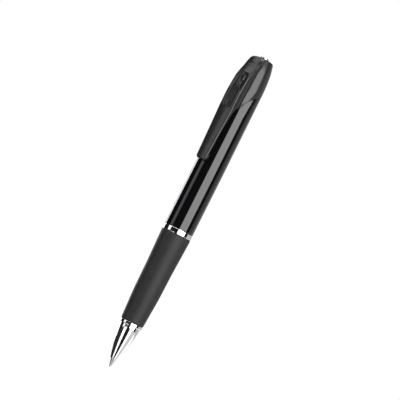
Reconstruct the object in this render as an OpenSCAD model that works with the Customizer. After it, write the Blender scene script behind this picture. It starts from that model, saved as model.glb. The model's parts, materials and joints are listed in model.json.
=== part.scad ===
// Ballpoint pen camera, millimetres. The pen's axis is Z, the ball's tip is the origin,
// and the clip faces -Y. Heights are measured along Z from the tip.

/* [Refill] */
// Radius of the writing ball
ball_r = 0.35; // [0.25:0.05:0.45]
// Radius of the refill tip's shank, where it leaves the nose cone
tip_r = 1.15; // [1.0:0.01:1.2]
// Radius of the ink tube
tube_r = 1.6; // [1.3:0.05:1.65]
// Height of the ink tube's rear end
tube_top = 46; // [40:0.5:47]

/* [Front section] */
// Height of the nose cone's mouth, where the refill tip comes out
mouth_z = 3.65; // [3:0.05:4]
// Height of the nose cone's rear end
cone_top = 19.5; // [18:0.1:20]
// Radius of the nose cone's rear end
cone_r = 4.49; // [4.3:0.01:4.7]
// Radius of the ring behind the nose cone
collar_r = 5.05; // [4.8:0.01:5.3]
// Height of the grip's front end
grip_z = 21.1; // [21:0.05:21.5]
// Radius of the grip's front end
grip_front_r = 5.2; // [5.1:0.01:5.4]
// Radius of the grip's rear end
grip_rear_r = 6.68; // [6.5:0.01:6.75]

/* [Rear barrel] */
// Height of the joint between the front section and the barrel
joint_z = 65.5; // [65:0.1:66]
// Outer radius of the barrel
barrel_r = 6.6; // [6.5:0.01:6.7]
// Height at which the barrel starts to taper
taper_z = 95; // [90:0.5:100]
// Radius of the coupling's male thread
thread_r = 4.8; // [4.7:0.01:4.85]
// Pitch of the coupling's thread
thread_pitch = 0.75; // [0.5:0.05:0.8]

/* [Cap] */
// Height of the cap's shoulder, around the push button
cap_top = 147.2; // [146.8:0.1:147.5]
// Radius of the arc that the cap's lower edge follows, seen from the side
sweep_r = 12.05; // [11.9:0.05:12.2]

/* [Clip] */
// Height of the clip's free end
clip_end = 96.4; // [94:0.1:98]
// Half of the clip's width at the camera
clip_half_w = 4; // [3.9:0.05:4.1]
// Half of the clip's width at its free end
clip_end_half_w = 2.9; // [2.6:0.05:3.2]
// Height of the axis about which the clip flexes
flex_z = 119; // [118:0.5:120]

/* [Camera] */
// Width of the lens shutter
shutter_w = 4; // [3.6:0.1:4.2]
// How far up the shutter slides to cover the lens
shutter_travel = 5.9; // [5.5:0.1:5.9]
// Height of the lens above the track's datum
lens_h = 12; // [11.8:0.1:12.1]
// Radius of the ring around the lens
bezel_r = 1.75; // [1.6:0.05:1.8]

/* [Push button] */
// Radius of the push button
button_r = 2.05; // [1.9:0.05:2.1]
// Height of the button's crown above the shoulder of the cap
button_rise = 1.3; // [0.7:0.1:1.5]
// Travel of the push button
button_travel = 0.5; // [0.3:0.05:0.5]

/* [Hidden] */
$fn = 96;

// Clearances: a running fit, a press fit drawn just clear, and the gap at a parting line.
run_gap = 0.05;
fit_gap = 0.02;
part_gap = 0.05;
// Long enough to cut right through anything on the pen.
through = 60;

// Front section, behind the visible surfaces.
mouth_r = 1.25;
chamber_z = 10;
chamber_r = 2.2;
spigot_z = 14.6;
spigot_r = 3.3;
core_r = 4.3;
socket_r = 5.5;
socket_z = 50.2;
ring_z = 63.4;
ring_r = barrel_r;
grip_top = 63.1;
collar_z = cone_top + part_gap;

// Refill: its stop collar holds the spring's rear end, and its holder bears on the coupling.
shank_top = 10.2;
stop_z = 24;
stop_r = 1.95;
stop_h = 1;
coupling_end = 52;
holder_z = 40;
holder_r = 3.3;
flange_h = 1.4;

// Refill spring.
spring_z = 10.15;
spring_turns = 7;
wire_r = 0.16;
coil_r = 1.88;

// Rear barrel and its lining.
bore_r = 5.5;
cap_line_r = 6.3;
cap_line_z = 133;
coupling_bore_r = 4.15;
coupling_top = 74;
barrel_top = 132.2;
sweep_y = 6.5;
sweep_z = 120.25;

// Clip and camera housing: depths are distances from the pen's axis towards -Y.
flex_d = 7.75;
knuckle_r = 0.85;
leaf_outer_d = 8.58;
leaf_inner_d = 7.5;
toe_d = 6.78;

// The shutter's track leans inwards going up. Its datum is a point on the clip's face.
track_d = 8.45;
track_z = 124;
track_lean = 3.3;
floor_y = 0.73;
housing_floor_y = 2;
shutter_low = -2.7;
shutter_high = 8.2;
slot_low = -2.8;
slot_high = shutter_high + shutter_travel + 0.2;
led_h = 9.2;
led_w = 1.6;
brow_r = 3.6;
brow_h = 10.9;
detent_r = 0.45;
detent_h = 2;

// Boards and parts inside the barrel.
board_back_y = -1.3;
board_t = 0.8;
board_half_w = 3.7;
board_tail_half_w = 2.9;
board_end = 53;
board_top = 128;
shelf_z = 141.7;

function barrel_radius(z) = z < taper_z ? barrel_r
  : barrel_r - (barrel_r - cap_line_r) * (z - taper_z) / (cap_line_z - taper_z);

// A ring or tube about the pen's axis, from height z.
module tube(outer, inner, z, h) {
  translate([0, 0, z])
    difference() {
      cylinder(r = outer, h = h);
      translate([0, 0, -1]) cylinder(r = inner, h = h + 2);
    }
}

module disc(r, z, h) {
  translate([0, 0, z]) cylinder(r = r, h = h);
}

// A block centred on the YZ plane, from corner to corner in Y and Z.
module block(w, y0, y1, z0, z1) {
  translate([-w / 2, y0, z0]) cube([w, y1 - y0, z1 - z0]);
}

// A side outline given as [depth, height], drawn w wide across the pen.
module side_solid(outline, w) {
  translate([-w / 2, 0, 0])
    rotate([90, 0, 90])
      linear_extrude(w)
        polygon([for (p = outline) [-p[0], p[1]]]);
}

// Stands its children on the shutter's track: -Y is out of the face and Z runs up it.
module on_track() {
  translate([0, -track_d, track_z]) rotate([-track_lean, 0, 0]) children();
}

// A disc on the track whose axis is square to it, from depth y0 to y1.
module track_disc(r, h, y0, y1) {
  translate([0, y0, h]) rotate([-90, 0, 0]) cylinder(r = r, h = y1 - y0);
}

// A bar with round ends, standing on the track between heights h0 and h1.
module oblong(w, h0, h1, y0, y1) {
  r = w / 2;
  track_disc(r, h0 + r, y0, y1);
  track_disc(r, h1 - r, y0, y1);
  block(w, y0, y1, h0 + r, h1 - r);
}

// Everything above the cap's swept lower edge, grown by gap.
module above_sweep(gap) {
  difference() {
    translate([-through / 2, -through / 2, sweep_z - gap]) cube(through);
    translate([-through / 2, sweep_y, sweep_z])
      rotate([0, 90, 0])
        cylinder(r = sweep_r - gap, h = through, $fn = 180);
  }
}

// Refill ---------------------------------------------------------------------------

module ball() {
  color("silver")
    translate([0, 0, ball_r]) sphere(r = ball_r, $fn = 48);
}

module refill_tip() {
  color([0.72, 0.73, 0.74])
    difference() {
      rotate_extrude()
        polygon([
          [0, 0.22], [0.33, 0.22], [0.56, 0.75], [0.6, 1.5], [tip_r, mouth_z - 0.15],
          [tip_r, shank_top], [tube_r - 0.55, shank_top], [tube_r - 0.55, 14], [0, 14]
        ]);
      translate([0, 0, ball_r]) sphere(r = ball_r + 0.015, $fn = 48);
      disc(0.25, ball_r, 14);
    }
}

module refill_tube() {
  color([0.9, 0.9, 0.88, 0.6])
    union() {
      tube(tube_r, tube_r - 0.5, shank_top + fit_gap, tube_top - shank_top);
      tube(stop_r, tube_r - 0.25, stop_z, stop_h);
    }
}

module ink() {
  color([0.03, 0.04, 0.12])
    disc(tube_r - 0.55, 14.1, 26);
}

module refill_holder() {
  color([0.2, 0.2, 0.22])
    difference() {
      union() {
        disc(holder_r, holder_z, coupling_end - holder_z - part_gap);
        disc(thread_r - 0.2, coupling_end - flange_h, flange_h - part_gap);
      }
      disc(tube_r + fit_gap, holder_z - 1, tube_top + 2 * fit_gap - holder_z + 1);
      disc(1, holder_z, coupling_end);
    }
}

// The coil is a round wire swept along a helix, with its ends cut off flat.
module refill_spring() {
  steps = 20;
  sides = 8;
  rings = spring_turns * steps;
  z_low = spring_z + wire_r;
  rise = stop_z - fit_gap - wire_r - z_low;
  points = [
    for (i = [0 : rings])
      let (turn = 360 * i / steps, z = z_low + rise * i / rings)
        for (k = [0 : sides - 1])
          let (a = 360 * k / sides, r = coil_r + wire_r * cos(a))
            [r * cos(turn), r * sin(turn), z + wire_r * sin(a)]
  ];
  walls = [
    for (i = [0 : rings - 1])
      for (k = [0 : sides - 1])
        let (n = (k + 1) % sides, a = i * sides)
          [a + k, a + n, a + sides + n, a + sides + k]
  ];
  first = [for (k = [sides - 1 : -1 : 0]) k];
  last = [for (k = [0 : sides - 1]) rings * sides + k];
  color("silver") polyhedron(points, concat([first], walls, [last]));
}

// Front section --------------------------------------------------------------------

module nose_cone() {
  color([0.85, 0.86, 0.88])
    rotate_extrude()
      polygon([
        [mouth_r, mouth_z], [1.57, mouth_z], [2.12, 5.8], [2.62, 7.94], [3.1, 9.9],
        [3.52, 11.96], [3.87, 13.9], [4.16, 16], [4.36, 17.8], [cone_r, cone_top],
        [spigot_r, cone_top], [spigot_r, spigot_z - part_gap],
        [chamber_r, spigot_z - part_gap], [chamber_r, chamber_z], [mouth_r, chamber_z]
      ]);
}

module nose_collar() {
  bevel = 0.25;
  top = grip_z - part_gap;
  color([0.8, 0.81, 0.83])
    rotate_extrude()
      polygon([
        [spigot_r, collar_z], [collar_r - bevel, collar_z], [collar_r, collar_z + bevel],
        [collar_r, top - bevel], [collar_r - bevel, top], [spigot_r, top]
      ]);
}

module front_core() {
  color([0.1, 0.1, 0.11])
    rotate_extrude()
      polygon([
        [spigot_r - fit_gap, spigot_z], [spigot_r - fit_gap, grip_z], [core_r, grip_z],
        [core_r, 46], [socket_r, 49.5], [socket_r, joint_z - part_gap],
        [thread_r + run_gap, joint_z - part_gap], [thread_r + run_gap, socket_z],
        [holder_r + 0.2, socket_z], [holder_r + 0.2, 27], [chamber_r + 0.1, 26],
        [chamber_r + 0.1, spigot_z]
      ]);
}

module rubber_grip() {
  lip = 0.25;
  color([0.22, 0.22, 0.23])
    difference() {
      rotate_extrude()
        polygon([
          [3.4, grip_z], [grip_front_r - lip, grip_z], [grip_front_r, grip_z + lip],
          [5.55, 28], [5.9, 34.8], [6.13, 47], [6.48, 56.7],
          [grip_rear_r, grip_top - lip], [grip_rear_r - lip, grip_top], [3.4, grip_top]
        ]);
      rotate_extrude()
        polygon([
          [0, grip_z - 1], [core_r + fit_gap, grip_z - 1], [core_r + fit_gap, 46],
          [socket_r + fit_gap, 49.5], [socket_r + fit_gap, grip_top + 1], [0, grip_top + 1]
        ]);
    }
}

module mid_ring() {
  bevel = 0.2;
  top = joint_z - part_gap;
  color([0.85, 0.86, 0.88])
    rotate_extrude()
      polygon([
        [socket_r + fit_gap, ring_z - 0.25], [ring_r - bevel, ring_z - 0.25],
        [ring_r, ring_z], [ring_r, top - bevel], [ring_r - bevel, top],
        [socket_r + fit_gap, top]
      ]);
}

// Rear barrel and what it holds ----------------------------------------------------

// The thread is drawn as rings, one to each pitch.
module coupling() {
  threads = 6;
  depth = 0.35;
  first = coupling_end + 1;
  color([0.6, 0.61, 0.63])
    difference() {
      union() {
        disc(thread_r, coupling_end, joint_z - coupling_end + 1);
        disc(bore_r - fit_gap, joint_z + part_gap, coupling_top - joint_z);
      }
      disc(coupling_bore_r, coupling_end - 1, coupling_top);
      for (i = [0 : threads])
        translate([0, 0, first + i * thread_pitch])
          rotate_extrude()
            polygon([
              [thread_r - depth, 0], [thread_r + 0.1, -thread_pitch * 0.4],
              [thread_r + 0.1, thread_pitch * 0.4]
            ]);
    }
}

module rear_barrel() {
  lip = 0.15;
  color([0.02, 0.02, 0.025])
    difference() {
      rotate_extrude()
        polygon([
          [bore_r, joint_z], [barrel_r - lip, joint_z], [barrel_r, joint_z + lip],
          [barrel_r, taper_z], [barrel_radius(barrel_top), barrel_top],
          [bore_r, barrel_top]
        ]);
      above_sweep(part_gap);
      // The notch for the clip's root.
      housing_envelope(fit_gap);
    }
}

module usb_socket() {
  w = 7.4;
  t = 2.5;
  shell = 0.25;
  color([0.75, 0.76, 0.78])
    difference() {
      block(w, board_back_y + fit_gap, board_back_y + t, coupling_end + 0.3, 57.5);
      block(w - 2 * shell, board_back_y + shell, board_back_y + t - shell,
            coupling_end - 1, 56.8);
    }
}

module usb_tongue() {
  color([0.08, 0.08, 0.09])
    block(5, board_back_y + 0.85, board_back_y + 1.45, coupling_end + 0.9, 56.8);
}

module main_board() {
  color([0.05, 0.25, 0.14])
    union() {
      block(2 * board_tail_half_w, board_back_y - board_t, board_back_y, board_end, 76);
      block(2 * board_half_w, board_back_y - board_t, board_back_y, 75, board_top);
    }
}

// A chip on the front of the main board.
module chip(w, t, z0, z1) {
  front = board_back_y - board_t;
  block(w, front - t, front - fit_gap, z0, z1);
}

module processor() {
  color([0.1, 0.1, 0.11]) chip(6, 0.9, 96, 102);
}

module memory_chip() {
  color([0.12, 0.12, 0.13]) chip(5.6, 0.8, 82, 91);
}

module crystal() {
  color("silver") chip(3.2, 0.7, 105, 107.5);
}

module battery() {
  depth = 4.4;
  color([0.62, 0.64, 0.66])
    block(7.4, board_back_y + 0.3, board_back_y + 0.3 + depth, 76, 111);
}

module cap_shell() {
  spigot_low = 113;
  spigot_high = 133.5;
  dome = 0.25;
  color([0.24, 0.24, 0.25])
    difference() {
      union() {
        intersection() {
          rotate_extrude()
            polygon([
              [bore_r - 0.1, sweep_z], [barrel_radius(sweep_z), sweep_z],
              [barrel_radius(barrel_top), barrel_top], [6.2, 136.3], [5.95, 139.9],
              [5.68, 142.2], [5.35, 143.9], [4.72, cap_top - 0.35], [4.4, cap_top],
              [2.95, cap_top + dome], [0, cap_top + dome], [0, cap_top - 1],
              [3.9, cap_top - 1], [4.4, 143.9], [5, 139.9], [bore_r - 0.1, 133]
            ]);
          above_sweep(0);
        }
        tube(bore_r - run_gap, 4.75, spigot_low, spigot_high - spigot_low);
      }
      disc(button_r + run_gap, cap_top - 2, 4);
      disc(2.95, cap_top - 0.25, 1);
      housing_envelope(fit_gap);
    }
}

// Camera housing: the thick upper part of the clip, with the camera behind its face.
module housing_envelope(grow) {
  w = 2 * (clip_half_w + grow);
  side_solid([
    [leaf_outer_d, flex_z + 0.6], [8.63, 123.6], [8.74, 127.8], [8.52, 131.5],
    [8.02, 136.3], [7.3, 138.6], [6.2, 141.4], [4.7 + grow, cap_top - 0.25],
    [3.6 - grow, cap_top - 0.25], [3.6 - grow, 140], [3.9 - grow, 138],
    [3.9 - grow, 124.2], [6.9, 121.3], [6.9, flex_z]
  ], w);
}

module camera_housing() {
  edge = 0.45;
  color([0.27, 0.27, 0.28])
    difference() {
      intersection() {
        housing_envelope(0);
        union() {
          // The long edges of the face are bevelled.
          side = clip_half_w - edge;
          side_solid([[0, flex_z - 1], [20, flex_z - 1], [20, 148], [0, 148]], 2 * side);
          side_solid([
            [0, flex_z - 1], [leaf_outer_d - edge, flex_z - 1], [8.2, 123.6],
            [8.32, 127.8], [8.1, 131.5], [7.6, 136.3], [6.85, 138.6], [5.78, 141.4],
            [4.3, cap_top], [0, cap_top]
          ], 2 * clip_half_w);
        }
        // The top corners are rounded off to follow the end of the cap.
        rotate_extrude()
          polygon([
            [0, flex_z - 1], [12, flex_z - 1], [12, 142.5], [6.6, 143.2], [6.35, 144.3],
            [5.85, 145.8], [5.3, 146.7], [5, cap_top - 0.25], [0, cap_top - 0.25]
          ]);
      }
      // The knuckle about which the clip flexes.
      translate([-through / 2, -flex_d, flex_z])
        rotate([0, 90, 0])
          cylinder(r = knuckle_r + run_gap, h = through);
      block(through, -20, 0, flex_z - 2, flex_z);
      on_track() {
        oblong(shutter_w + 2 * run_gap, slot_low, slot_high, -2, floor_y);
        // The recess under the brow ramps out to the face below it.
        intersection() {
          union() {
            track_disc(brow_r, brow_h, -3, 2);
            block(2 * brow_r, -3, 2, 4, brow_h);
          }
          side_solid([[3, 4], [0.75, 4], [0.36, 7], [-0.17, 11], [-0.62, 14.6], [3, 14.6]],
                     2 * brow_r + 1);
        }
        track_disc(bezel_r + fit_gap, lens_h, 0, 3);
        oblong(led_w + 0.05, led_h - 0.95, led_h + 0.95, 0, 3);
        track_disc(detent_r + fit_gap, detent_h, 0, 2.5);
        // The camera's chamber.
        block(6.2, housing_floor_y, 9, 4, 16);
      }
      block(6.2, -5, -2, 138, 141.4);
      block(6.2, -4.6, -2, 126.5, 133);
    }
}

module lens_shutter() {
  color([0.25, 0.25, 0.26])
    on_track()
      intersection() {
        oblong(shutter_w, shutter_low, shutter_high, -1, floor_y - run_gap);
        side_solid([
          [-floor_y, shutter_low - 1], [-0.06, shutter_low - 1], [-0.02, shutter_low],
          [0.14, 1], [0.22, 3.8], [0.14, 6], [-0.1, shutter_high],
          [-floor_y, shutter_high]
        ], shutter_w + 1);
      }
}

// The spring ball that holds the shutter at each end of its travel.
module shutter_detent() {
  color("silver")
    on_track()
      translate([0, floor_y + detent_r + part_gap, detent_h])
        sphere(r = detent_r, $fn = 32);
}

module lens_bezel() {
  color([0.04, 0.04, 0.045])
    on_track()
      difference() {
        track_disc(bezel_r, lens_h, floor_y + 0.02, floor_y + 0.5);
        track_disc(1.15, lens_h, 0, 3);
      }
}

module lens_window() {
  color([0.2, 0.25, 0.35, 0.5])
    on_track() track_disc(1.13, lens_h, floor_y + 0.12, floor_y + 0.47);
}

module lens_barrel() {
  color([0.08, 0.08, 0.09])
    on_track()
      difference() {
        track_disc(bezel_r, lens_h, 1.26, 3.6);
        track_disc(1.3, lens_h, 1, 3.2);
        track_disc(0.8, lens_h, 1, 4);
      }
}

// A thin lens: a slice of a ball, with its round side out.
module lens_cap(r, curve, y, t) {
  translate([0, y, lens_h])
    intersection() {
      rotate([-90, 0, 0]) cylinder(r = r, h = t);
      translate([0, curve, 0]) sphere(r = curve);
    }
}

module front_lens() {
  color([0.3, 0.35, 0.6, 0.5]) on_track() lens_cap(1.27, 2.2, 1.28, 0.8);
}

module rear_lens() {
  color([0.3, 0.35, 0.6, 0.5]) on_track() lens_cap(1.27, 3, 2.42, 0.6);
}

module lens_stop() {
  color([0.03, 0.03, 0.03])
    on_track()
      difference() {
        track_disc(1.27, lens_h, 2.12, 2.38);
        track_disc(0.45, lens_h, 1, 4);
      }
}

module sensor_holder() {
  color([0.07, 0.07, 0.08])
    on_track()
      difference() {
        block(4.4, 3.62, 5.2, lens_h - 2.2, lens_h + 2.2);
        block(3.4, 4, 6, lens_h - 1.7, lens_h + 1.7);
        track_disc(0.8, lens_h, 3, 5);
      }
}

module image_sensor() {
  color([0.15, 0.12, 0.2])
    on_track() block(3, 4.6, 5.2, lens_h - 1.5, lens_h + 1.5);
}

module sensor_board() {
  color([0.05, 0.25, 0.14])
    on_track() block(5.4, 5.22, 5.8, 8.6, 15);
}

module light_pipe() {
  color([0.45, 0.2, 0.25])
    on_track() oblong(led_w, led_h - 0.92, led_h + 0.92, floor_y + 0.02, housing_floor_y);
}

module status_led() {
  color([0.8, 0.75, 0.7])
    on_track() block(1.1, housing_floor_y + 0.1, 2.8, led_h - 0.6, led_h + 0.6);
}

// The ribbon runs up the back of the main board and across to the back of the sensor board.
module flex_cable() {
  ribbon = 3.4;
  t = 0.15;
  back = board_back_y + fit_gap;
  color([0.75, 0.45, 0.12])
    union() {
      block(ribbon, back, back + t, 122, 134);
      block(ribbon, -2.05, back + t, 134 - t, 134);
      on_track() block(ribbon, 5.82, 5.82 + t, 9.7, 14.5);
    }
}

module button_board() {
  color([0.05, 0.25, 0.14]) disc(3.4, shelf_z, 0.8);
}

module microphone() {
  color([0.8, 0.7, 0.4])
    block(2.6, 0.4, 3, shelf_z - 1.02, shelf_z - fit_gap);
}

module tact_switch() {
  low = shelf_z + 0.82;
  color([0.7, 0.71, 0.72])
    difference() {
      block(3.4, -1.7, 1.7, low, low + 1.6);
      disc(0.85, low + 0.5, 3);
    }
}

module switch_plunger() {
  bottom = shelf_z + 0.82 + 0.5 + button_travel + 0.1;
  color([0.1, 0.1, 0.1]) disc(0.8, bottom, cap_top - 2.05 - bottom);
}

module top_button() {
  flange_top = cap_top - 1 - fit_gap;
  crown = cap_top + button_rise;
  color([0.5, 0.5, 0.52])
    rotate_extrude()
      polygon([
        [0, cap_top - 2.03], [2.6, cap_top - 2.03], [2.6, flange_top],
        [button_r, flange_top], [button_r, crown - 0.35], [button_r - 0.3, crown - 0.1],
        [1.1, crown], [0, crown]
      ]);
}

module button_bezel() {
  color([0.08, 0.08, 0.085])
    rotate_extrude()
      polygon([
        [button_r + run_gap, cap_top - 0.23], [2.93, cap_top - 0.23],
        [2.93, cap_top + 0.25], [2.7, cap_top + 0.45], [button_r + run_gap, cap_top + 0.45]
      ]);
}

// Clip -----------------------------------------------------------------------------

module clip_leaf() {
  corner = 1.5;
  edge = 0.35;
  toe_z = clip_end + 2.4;
  color([0.27, 0.27, 0.28])
    intersection() {
      union() {
        side_solid([
          [leaf_outer_d - 0.1, clip_end + 0.1], [leaf_outer_d - 0.02, clip_end + 1],
          [8.55, 112], [leaf_outer_d, flex_z], [6.92, flex_z], [7.2, 116.5],
          [leaf_inner_d, 112], [leaf_inner_d, toe_z + 1.6], [toe_d, toe_z + 0.4],
          [toe_d, toe_z - 0.6], [leaf_inner_d - 0.1, clip_end + 0.1]
        ], 2 * clip_half_w);
        translate([-clip_half_w, -flex_d, flex_z])
          rotate([0, 90, 0])
            cylinder(r = knuckle_r, h = 2 * clip_half_w);
      }
      // Front outline: tapered, with round corners at the free end.
      rotate([90, 0, 0])
        linear_extrude(through) {
          polygon([
            [-clip_half_w, 125], [-clip_half_w, 121], [-3.06, 102],
            [-clip_end_half_w, clip_end + corner], [clip_end_half_w, clip_end + corner],
            [3.06, 102], [clip_half_w, 121], [clip_half_w, 125]
          ]);
          for (side = [-1, 1])
            translate([side * (clip_end_half_w - corner), clip_end + corner])
              circle(r = corner);
          translate([0, clip_end + corner])
            square([2 * (clip_end_half_w - corner), 2 * corner], center = true);
        }
      union() {
        side_solid([[0, 90], [20, 90], [20, 125], [0, 125]], 2 * (clip_end_half_w - edge));
        side_solid([[0, 90], [leaf_outer_d - edge, 90], [leaf_outer_d - edge, 125], [0, 125]],
                   2 * clip_half_w);
      }
    }
}

ball();
refill_tip();
refill_tube();
ink();
refill_holder();
refill_spring();
nose_cone();
nose_collar();
front_core();
rubber_grip();
mid_ring();
coupling();
rear_barrel();
cap_shell();
camera_housing();
clip_leaf();
lens_shutter();
shutter_detent();
lens_bezel();
lens_window();
lens_barrel();
front_lens();
rear_lens();
lens_stop();
sensor_holder();
image_sensor();
sensor_board();
light_pipe();
status_led();
flex_cable();
main_board();
processor();
memory_chip();
crystal();
usb_socket();
usb_tongue();
battery();
button_board();
microphone();
tact_switch();
switch_plunger();
top_button();
button_bezel();
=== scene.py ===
# %% [markdown]
# # A ballpoint pen with a camera in its clip
#
# The pen stands on its tip along +Z with its clip towards -Y. The CAD model has already settled
# where everything is, so this script loads it as a fixed frame, gives each part its finish, and
# models again the outside pieces whose curves show in their reflections.

# %% Load the frame
import json
import math

import bmesh
import bpy
from mathutils import Matrix, Vector


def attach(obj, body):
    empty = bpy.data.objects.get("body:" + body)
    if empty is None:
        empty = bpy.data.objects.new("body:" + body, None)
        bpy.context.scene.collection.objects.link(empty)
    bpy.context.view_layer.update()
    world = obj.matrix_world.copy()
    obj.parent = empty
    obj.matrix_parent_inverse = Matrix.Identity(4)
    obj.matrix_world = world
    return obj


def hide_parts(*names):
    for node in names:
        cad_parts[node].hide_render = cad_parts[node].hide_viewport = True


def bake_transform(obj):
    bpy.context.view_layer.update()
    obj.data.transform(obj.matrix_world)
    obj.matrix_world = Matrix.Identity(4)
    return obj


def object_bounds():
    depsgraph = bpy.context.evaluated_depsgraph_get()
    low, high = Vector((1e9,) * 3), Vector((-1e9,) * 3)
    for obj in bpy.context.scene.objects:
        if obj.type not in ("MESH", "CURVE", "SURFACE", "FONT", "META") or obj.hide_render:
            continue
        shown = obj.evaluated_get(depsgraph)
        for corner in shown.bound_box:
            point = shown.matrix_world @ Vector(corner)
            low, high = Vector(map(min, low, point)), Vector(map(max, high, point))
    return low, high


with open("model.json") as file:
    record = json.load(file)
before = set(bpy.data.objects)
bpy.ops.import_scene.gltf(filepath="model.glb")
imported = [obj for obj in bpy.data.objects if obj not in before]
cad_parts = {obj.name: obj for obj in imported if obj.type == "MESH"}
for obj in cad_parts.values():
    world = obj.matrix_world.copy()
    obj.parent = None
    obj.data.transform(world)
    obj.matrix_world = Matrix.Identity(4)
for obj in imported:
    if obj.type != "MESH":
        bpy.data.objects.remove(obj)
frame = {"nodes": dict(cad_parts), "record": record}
cad_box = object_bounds()
MM = 0.001


# %% [markdown]
# ## The camera
#
# A pen is long and thin, so a short lens would make its near end look fat. A long lens stands well
# back instead. It looks from a little below the middle of the pen and is turned about its own axis,
# so that the pen leans to the right while it still stands upright in the frame. Three directions
# of the picture are worked out first, and the camera's matrix is written down from them.

# %% Camera
LENS = 135
SENSOR = 36
VIEW_ANGLE = math.radians(42)
VIEW_RISE = math.radians(-3.5)
LEAN = math.radians(26.7)
FRAME_HEIGHT = 171.7 * MM
AIM_RIGHT = 5.2 * MM
AIM_UP = 4.82 * MM

pen_low, pen_high = cad_box
middle = Vector((0, 0, (pen_low.z + pen_high.z) / 2))
to_camera = Vector((math.sin(VIEW_ANGLE) * math.cos(VIEW_RISE),
                    -math.cos(VIEW_ANGLE) * math.cos(VIEW_RISE),
                    math.sin(VIEW_RISE)))
level_right = Vector((math.cos(VIEW_ANGLE), math.sin(VIEW_ANGLE), 0))
level_up = to_camera.cross(level_right)
image_right = level_right * math.cos(LEAN) + level_up * math.sin(LEAN)
image_up = level_up * math.cos(LEAN) - level_right * math.sin(LEAN)
aim = middle + image_right * AIM_RIGHT + image_up * AIM_UP
distance = LENS / SENSOR * FRAME_HEIGHT

camera_data = bpy.data.cameras.new("camera")
camera_data.lens = LENS
camera_data.sensor_width = SENSOR
camera_data.clip_start = 0.01
camera_data.clip_end = 50
camera = bpy.data.objects.new("camera", camera_data)
bpy.context.scene.collection.objects.link(camera)
camera.matrix_world = Matrix((
    (image_right.x, image_up.x, to_camera.x, aim.x + to_camera.x * distance),
    (image_right.y, image_up.y, to_camera.y, aim.y + to_camera.y * distance),
    (image_right.z, image_up.z, to_camera.z, aim.z + to_camera.z * distance),
    (0, 0, 0, 1)))
bpy.context.scene.camera = camera
bpy.context.scene.view_settings.view_transform = "Standard"
print("camera stands", round(distance, 3), "m from the pen")


# %% [markdown]
# ## Soft boxes
#
# A gloss black barrel has no colour of its own to show: all that the eye sees on it is the reflection
# of what stands around it. Small lamps would leave dots, and an even sky would leave nothing. Large
# area lights leave the long bands with clean edges that tell the eye the barrel is round, so each
# box below is one band.

# %% Soft boxes
BOX_AIM = Vector((0, 0, 0.08))


def round_pen(angle, reach, height):
    """A place at that angle from the camera's direction about the pen, right positive."""
    turn = VIEW_ANGLE + math.radians(angle)
    return Vector((math.sin(turn) * reach, -math.cos(turn) * reach, height))


def soft_box(name, angle, reach, height, width, tall, glow):
    """An area light that faces the pen. glow is its brightness, as a fraction of white paper's."""
    data = bpy.data.lights.new(name, "AREA")
    data.shape = "RECTANGLE"
    data.size = width
    data.size_y = tall
    data.energy = glow * math.pi * width * tall
    light = bpy.data.objects.new(name, data)
    light.location = round_pen(angle, reach, height)
    light.rotation_mode = "QUATERNION"
    light.rotation_quaternion = (light.location - BOX_AIM).to_track_quat("Z", "Y")
    light.visible_camera = False
    bpy.context.scene.collection.objects.link(light)


soft_box("front box", angle=31, reach=0.9, height=0.1, width=0.95, tall=1.2, glow=5)
soft_box("left strip", angle=-70, reach=0.9, height=0.1, width=0.36, tall=1.2, glow=1.2)
soft_box("right fill", angle=130, reach=0.9, height=0.1, width=1.8, tall=1.0, glow=0.5)
soft_box("left high box", angle=-84, reach=0.7, height=0.85, width=0.6, tall=0.5, glow=1.7)
soft_box("top box", angle=-30, reach=0.25, height=1.1, width=0.7, tall=0.7, glow=4)
soft_box("back strip", angle=215, reach=0.9, height=0.1, width=0.3, tall=1.2, glow=3)
print("soft boxes:", len(bpy.data.lights))


# %% [markdown]
# ## Air
#
# The air is white where the camera sees it, but white air would wash out the gloss, so to a
# reflection it is nearly black. To everything else it is a soft grey that fills the shadows. The
# Light Path node tells the three apart.

# %% Air
AIR_SEEN = 1.0
AIR_MIRRORED = 0.012
AIR_FILL = 0.45


def white_air(tree, strength):
    made = tree.nodes.new("ShaderNodeBackground")
    made.inputs["Color"].default_value = (1, 1, 1, 1)
    made.inputs["Strength"].default_value = strength
    return made.outputs[0]


def world_air():
    """White to the camera, dim to reflections, and soft grey for everything else."""
    world = bpy.data.worlds.new("air")
    bpy.context.scene.world = world
    world.use_nodes = True
    tree = world.node_tree
    tree.nodes.clear()
    path = tree.nodes.new("ShaderNodeLightPath")
    unseen = tree.nodes.new("ShaderNodeMixShader")
    either = tree.nodes.new("ShaderNodeMixShader")
    out = tree.nodes.new("ShaderNodeOutputWorld")
    link = tree.links.new
    link(path.outputs["Is Glossy Ray"], unseen.inputs["Fac"])
    link(white_air(tree, AIR_FILL), unseen.inputs[1])
    link(white_air(tree, AIR_MIRRORED), unseen.inputs[2])
    link(path.outputs["Is Camera Ray"], either.inputs["Fac"])
    link(unseen.outputs[0], either.inputs[1])
    link(white_air(tree, AIR_SEEN), either.inputs[2])
    link(either.outputs[0], out.inputs["Surface"])


world_air()
print("air:", len(bpy.context.scene.world.node_tree.nodes), "nodes")


# %% [markdown]
# ## Floor and cards
#
# The chrome nose points down, so what it mirrors is mostly the floor. A floor of one tone would
# make it look like grey paint. In a studio, black and white cards are laid round the foot of a
# bright object, and the same is done here: each card is a sector of a ring, made by spinning one
# edge. The cards show only in reflections, and the pale floor shows everywhere else.

# %% Floor and cards
FLOOR_Z = pen_low.z - 27 * MM
FLOOR_RADIUS = 0.45
CARD_Z = FLOOR_Z + 0.01 * MM
CARD_START = 0.5 * MM
CARD_REACH = 0.25


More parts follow.
